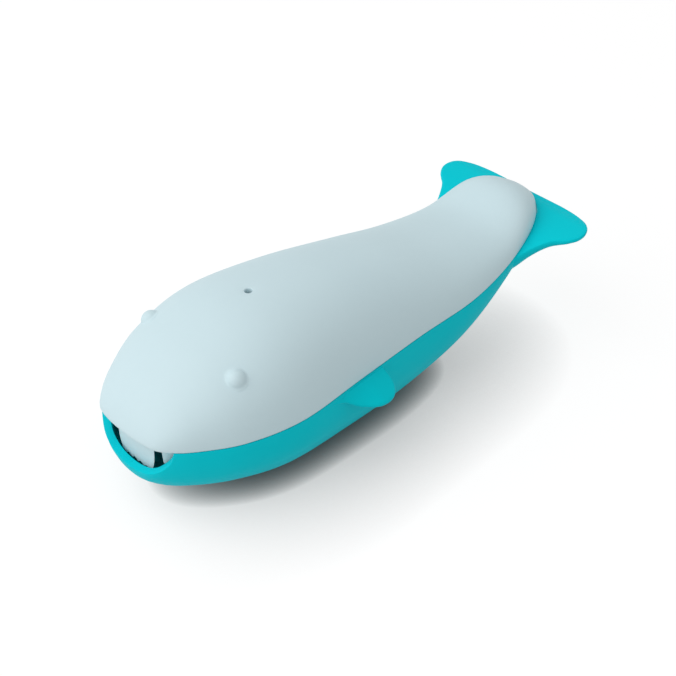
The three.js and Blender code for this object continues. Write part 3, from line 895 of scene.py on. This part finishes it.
def flippers():
    edge = smooth_row(FLIPPER_EDGE, FLIPPER_EDGE_ROWS)
    shares = [step / FLIPPER_ROOT_ROWS for step in range(1, FLIPPER_ROOT_ROWS)]
    outer = edge + [edge[-1].lerp(edge[0], share) for share in shares]
    inner = [FLIPPER_MIDDLE] * len(outer)
    bm = round_pad(inner, outer, flipper_top, flipper_thickness, FLIPPER_TOP_ROUND, FLIPPER_RINGS)
    for vert in bm.verts:
        vert.co = at_flank(vert.co)
    return mirrored(bm)


flipper_part = flippers()
print("flippers:", len(flipper_part.faces), "faces")

# %% [markdown]
# Inside the belly are a seat for the keel bar with a post at each end, and under the tail the lug that
# carries the hinge pin. The seat and posts reach down into the belly's wall and no further. The lug's side
# view is a few points and one round end, given its width.

# %% Keel seat, posts and hinge lug inside the belly
KEEL_FLOOR = 4 * MM
KEEL_SEAT_HALF = 7.5 * MM
SEAT_CUTS = 20
SEAT_ROUND = 0.4 * MM
LUG_RADIUS = 2 * MM
LUG_HALF_WIDTH = 2.5 * MM
LUG_LENGTH = 7.5 * MM
LUG_DEPTH = 5.5 * MM
LUG_THROAT = (2.3 * MM, 3.5 * MM)
LUG_STEPS = 10


def keel_seat():
    cover_low, cover_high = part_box("keel_cover")
    low = (cover_low.x, -KEEL_SEAT_HALF, WALL / 2)
    seat = block(low, (cover_high.x, KEEL_SEAT_HALF, KEEL_FLOOR))
    lengthwise = [e for e in seat.edges if abs(e.verts[0].co.x - e.verts[1].co.x) > WALL]
    bmesh.ops.subdivide_edges(seat, edges=lengthwise, cuts=SEAT_CUTS, use_grid_fill=True)
    for vert in seat.verts:
        if vert.co.z < KEEL_FLOOR / 2:
            vert.co.z = belly_height(vert.co.x, vert.co.y) + WALL / 2
    round_edges(seat, sharp_corners(seat), SEAT_ROUND, segments=2)
    return seat


def keel_posts():
    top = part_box("keel_cover")[0].z - FIT_GAP
    places = [screw_place("keel_screw_" + end) for end in ENDS]
    return [upright_post(x, belly_height(x, 0) + WALL / 2, top) for x in places]


def slab(corners, push):
    bm = bmesh.new()
    face = bm.faces.new([bm.verts.new(corner) for corner in corners])
    deep = bmesh.ops.extrude_face_region(bm, geom=[face], use_keep_orig=True)
    far_side = [item for item in deep["geom"] if isinstance(item, bmesh.types.BMVert)]
    bmesh.ops.translate(bm, vec=push, verts=far_side)
    return bm, far_side


def hinge_lug():
    front = hinge.x - LUG_LENGTH
    before, below = LUG_THROAT
    side = [
        (front, hinge.z + LUG_RADIUS), (front, hinge.z - LUG_DEPTH),
        (hinge.x - before, hinge.z - below),
    ]
    for turn in np.linspace(0, math.pi, LUG_STEPS + 1):
        side.append((hinge.x + LUG_RADIUS * math.sin(turn), hinge.z - LUG_RADIUS * math.cos(turn)))
    bm, _ = slab([(x, -LUG_HALF_WIDTH, z) for x, z in side], (0, 2 * LUG_HALF_WIDTH, 0))
    bmesh.ops.recalc_face_normals(bm, faces=bm.faces)
    round_edges(bm, sharp_corners(bm), SMALL_ROUND, segments=2)
    return bm


finished(
    "belly_moulding",
    gather(belly_part, fluke_part, flipper_part, keel_seat(), *keel_posts(), hinge_lug()),
    "belly", "teal_plastic", teal, "belly_shell",
)

# %% [markdown]
# The flap hangs behind the lip and ends in a row of small teeth. Its front view is one face with the teeth
# in its lower edge, given a thickness that narrows towards the back, and softened edges. Behind it a barrel
# turns on the pin, and a heel keeps the flap shut.

# %% The mouth flap
FLAP_THICKNESS = 1.8 * MM
FLAP_FOOT_HALF = 6.6 * MM
FLAP_TEETH = 5
TOOTH_DEPTH = 0.9 * MM
FLAP_BACK_SHARE = 0.74
FLAP_SIDE = [(8, 22), (7.85, 20.3), (7.4, 18.4)]
FLAP_ROUND = 0.2 * MM
HEEL_HALF_HEIGHT = 1.5 * MM


def flap_outline():
    foot = flap_low.z
    pitch = 2 * FLAP_FOOT_HALF / FLAP_TEETH
    side = [(y * MM, z * MM) for y, z in FLAP_SIDE]
    outline = [(flap_high.y, pin.z - FIT_GAP), (-flap_high.y, pin.z - FIT_GAP)]
    outline += [(-y, z) for y, z in side]
    for tooth in range(FLAP_TEETH):
        start = -FLAP_FOOT_HALF + tooth * pitch
        outline += [(start, foot + TOOTH_DEPTH), (start + pitch / 2, foot)]
    return outline + [(FLAP_FOOT_HALF, foot + TOOTH_DEPTH)] + side[::-1]


def tongue():
    bm, far_side = slab([(flap_low.x, y, z) for y, z in flap_outline()], (FLAP_THICKNESS, 0, 0))
    bmesh.ops.scale(bm, vec=(1, FLAP_BACK_SHARE, 1), verts=far_side)
    bmesh.ops.recalc_face_normals(bm, faces=bm.faces)
    round_edges(bm, sharp_corners(bm), FLAP_ROUND)
    return bm


def flap_barrel():
    bm = rod(BARREL, 2 * flap_high.y)
    across = Matrix.Rotation(math.pi / 2, 3, "X")
    bmesh.ops.rotate(bm, cent=(0, 0, 0), matrix=across, verts=bm.verts)
    bmesh.ops.translate(bm, vec=(pin.x, 0, pin.z), verts=bm.verts)
    return bm


def flap_back():
    half = flap_high.y
    bridge = block((flap_low.x, -half, pin.z - BARREL), (pin.x, half, pin.z - FIT_GAP))
    heel_low = (pin.x, -half, pin.z - HEEL_HALF_HEIGHT)
    heel = block(heel_low, (flap_high.x, half, pin.z + HEEL_HALF_HEIGHT))
    parts = [bridge, heel, flap_barrel()]
    for part in parts:
        round_edges(part, sharp_corners(part), FLAP_ROUND, segments=2)
    return parts


finished(
    "flap_moulding", gather(tongue(), *flap_back()),
    "flap", "pale_plastic", pale, "mouth_flap",
)

# %% [markdown]
# The pins, screws and keel bar are stainless steel with fine drawing lines along one way, and the float is
# closed-cell foam, which shows small round cells. Neither shows until the back is opened.

# %% Steel and foam
LINES_PER_METRE = (60, 2400, 2400)
LINE_DETAIL = 3.0
LINE_GLOSS = 0.2
STEEL_ROUGHNESS = 0.22
LINE_DEPTH = 0.01 * MM
LINE_STRENGTH = 0.3
STEEL_COLOURS = (0.40, 0.42, 0.44), (0.56, 0.57, 0.58)
CELLS_PER_METRE = 900.0
FOAM_CLOUDS_PER_METRE = 60.0
FOAM_CLOUD_SHARE = 0.2
FOAM_GLOSS = 0.1
FOAM_ROUGHNESS = 0.85
CELL_DEPTH = 0.25 * MM
CELL_STRENGTH = 0.6
FOAM_COLOURS = (0.78, 0.78, 0.73), (0.90, 0.90, 0.86)


def drawn_steel():
    material, tree = new_finish("steel")
    sockets = {"Vector": object_place(tree), "Scale": LINES_PER_METRE}
    stretched = add_node(tree, "ShaderNodeMapping", {}, sockets)
    lines = speckle(tree, stretched, 1.0, LINE_DETAIL)
    surface(tree, {
        "Base Color": blend_colours(tree, lines, *STEEL_COLOURS),
        "Metallic": 1.0,
        "Roughness": lines * LINE_GLOSS + STEEL_ROUGHNESS,
        "Normal": bumps(tree, lines, LINE_DEPTH, LINE_STRENGTH),
    })
    return material


def closed_cell_foam():
    material, tree = new_finish("foam")
    place = object_place(tree)
    sockets = {"Vector": place, "Scale": CELLS_PER_METRE}
    cells = add_node(tree, "ShaderNodeTexVoronoi", {}, sockets, "Distance")
    cloud = speckle(tree, place, FOAM_CLOUDS_PER_METRE)
    drift = cells * (1 - FOAM_CLOUD_SHARE) + cloud * FOAM_CLOUD_SHARE
    surface(tree, {
        "Base Color": blend_colours(tree, drift, *FOAM_COLOURS),
        "Roughness": cloud * FOAM_GLOSS + FOAM_ROUGHNESS,
        "Normal": bumps(tree, cells, CELL_DEPTH, CELL_STRENGTH),
    })
    return material


steel = drawn_steel()
foam = closed_cell_foam()
print("inside finishes:", steel.name, foam.name)

# %% [markdown]
# The pieces inside keep their solids, which have the right shape already, and only get their finish.

# %% Finishes for the pieces inside
INSIDE_FINISHES = {
    "hinge_pin": steel, "flap_pin": steel, "keel_weight": steel,
    "keel_screw_front": steel, "keel_screw_rear": steel,
    "float_screw_front": steel, "float_screw_rear": steel,
    "keel_cover": teal, "float_strap": pale, "float_block": foam,
}
for node, finish in INSIDE_FINISHES.items():
    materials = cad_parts[node].data.materials
    materials.clear()
    materials.append(finish)
print("finished inside:", len(INSIDE_FINISHES))

# %% [markdown]
# The camera stands where the photograph was taken: in front of the toy's left side and well above it. A
# long lens and a small shift give the same framing.

# %% Camera
IMAGE_SIDE = 676
FOCAL_PIXELS = 1702.8
IMAGE_CENTRE = (332.7, 343.9)
AZIMUTH = math.radians(-42.19)
ELEVATION = math.radians(35.97)
DISTANCE = 495.8 * MM
SENSOR_WIDTH = 36
NEAREST = 0.01
LOOK_AT = Vector((-3.5, 0, 20)) * MM


def aim(thing, side, distance):
    thing.location = LOOK_AT + side * distance
    thing.rotation_mode = "QUATERNION"
    thing.rotation_quaternion = (-side).to_track_quat("-Z", "Y")


backwards = Vector((
    math.sin(AZIMUTH) * math.cos(ELEVATION),
    -math.cos(AZIMUTH) * math.cos(ELEVATION),
    math.sin(ELEVATION),
))
lens = bpy.data.cameras.new("camera")
lens.sensor_width = SENSOR_WIDTH
lens.lens = FOCAL_PIXELS / IMAGE_SIDE * SENSOR_WIDTH
lens.shift_x = 0.5 - IMAGE_CENTRE[0] / IMAGE_SIDE
lens.shift_y = IMAGE_CENTRE[1] / IMAGE_SIDE - 0.5
lens.clip_start = NEAREST
camera = put_in_scene("camera", lens)
aim(camera, backwards, DISTANCE)
bpy.context.scene.camera = camera
print("camera at", tuple(round(c, 4) for c in camera.location))

# %% [markdown]
# The toy stands on a white sheet. A lit floor would take on the belly's teal in its shadow, so what the
# camera sees is mostly a white glow with the shadow painted in, dimmed by ambient occlusion. A short reach
# paints the dark line under the belly. A longer one, whose normal leans towards the lamp, paints the soft
# shadow on the other side. For the light that it throws on the toy, the floor stays a plain pale sheet.

# %% Floor
FLOOR_HALF = 3.0
FLOOR_SHINE = 0.75
FLOOR_SEEN = 1.3
FLOOR_WHITE = 0.85
CONTACT_REACH = 8 * MM
CONTACT_DEPTH = 2.0
SHADOW_REACH = 34 * MM
SHADOW_DEPTH = 0.8
SHADOW_FROM = Vector((-0.85, 0.40, 0.40)).normalized()
SEEN_BY = ("Camera", "Glossy", "Transmission")


def in_sight(tree):
    rays = [add_node(tree, "ShaderNodeLightPath", {}, {}, f"Is {kind} Ray") for kind in SEEN_BY]
    return rays[0].most(rays[1]).most(rays[2])


def grey(tree, level):
    sockets = {"Red": level, "Green": level, "Blue": level}
    return add_node(tree, "ShaderNodeCombineColor", {}, sockets)


def openness(tree, sockets):
    return add_node(tree, "ShaderNodeAmbientOcclusion", {}, sockets, "AO")


def floor_sheet():
    material, tree = new_finish("floor_sheet")
    seen = in_sight(tree)
    level = seen * (FLOOR_SEEN - FLOOR_SHINE) + FLOOR_SHINE
    lit = add_node(tree, "ShaderNodeBsdfDiffuse", {}, {"Color": grey(tree, level)})
    lean = add_node(tree, "ShaderNodeCombineXYZ", {}, dict(zip("XYZ", SHADOW_FROM)))
    under = openness(tree, {"Distance": CONTACT_REACH})
    beside = openness(tree, {"Distance": SHADOW_REACH, "Normal": lean})
    # Painted shadow: the white glow is darkened wherever ambient occlusion finds the toy close by.
    painted_shadow_level = under ** CONTACT_DEPTH * beside ** SHADOW_DEPTH
    glow_with_painted_shadow = add_node(tree, "ShaderNodeEmission", {}, {"Color": grey(tree, painted_shadow_level)})
    sockets = {"Fac": seen * FLOOR_WHITE, 1: lit, 2: glow_with_painted_shadow}
    sheet = add_node(tree, "ShaderNodeMixShader", {}, sockets)
    add_node(tree, "ShaderNodeOutputMaterial", {}, {"Surface": sheet})
    return material


floor_bm = bmesh.new()
bmesh.ops.create_grid(floor_bm, x_segments=1, y_segments=1, size=FLOOR_HALF)
floor_mesh = mesh_from(floor_bm, "floor")
floor_mesh.materials.append(floor_sheet())
floor = put_in_scene("floor", floor_mesh)
print("floor:", 2 * FLOOR_HALF, "m wide")

# %% [markdown]
# One large soft lamp stands above and before the toy's nose, on its far side, and an even pale sky fills the
# shadows. What the camera sees of the sky is white.

# %% Lamp and sky
LAMP_FROM = Vector((-0.86, 0.33, 0.90)).normalized()
LAMP_DISTANCE = 0.9
LAMP_SIDE = 1.0
LAMP_POWER = 4.6
SKY_STRENGTH = 0.58

lamp_data = bpy.data.lights.new("lamp", "AREA")
lamp_data.size = LAMP_SIDE
lamp_data.energy = LAMP_POWER
lamp = put_in_scene("lamp", lamp_data)
aim(lamp, LAMP_FROM, LAMP_DISTANCE)

world = bpy.data.worlds.new("sky")
world.use_nodes = True
world.node_tree.nodes.clear()
strength = in_sight(world.node_tree) * (1 - SKY_STRENGTH) + SKY_STRENGTH
sockets = {"Color": (1, 1, 1, 1), "Strength": strength}
sky = add_node(world.node_tree, "ShaderNodeBackground", {}, sockets)
add_node(world.node_tree, "ShaderNodeOutputWorld", {}, {"Surface": sky})
bpy.context.scene.world = world
bpy.context.scene.view_settings.view_transform = "Standard"
print("lamp", LAMP_POWER, "sky", SKY_STRENGTH)
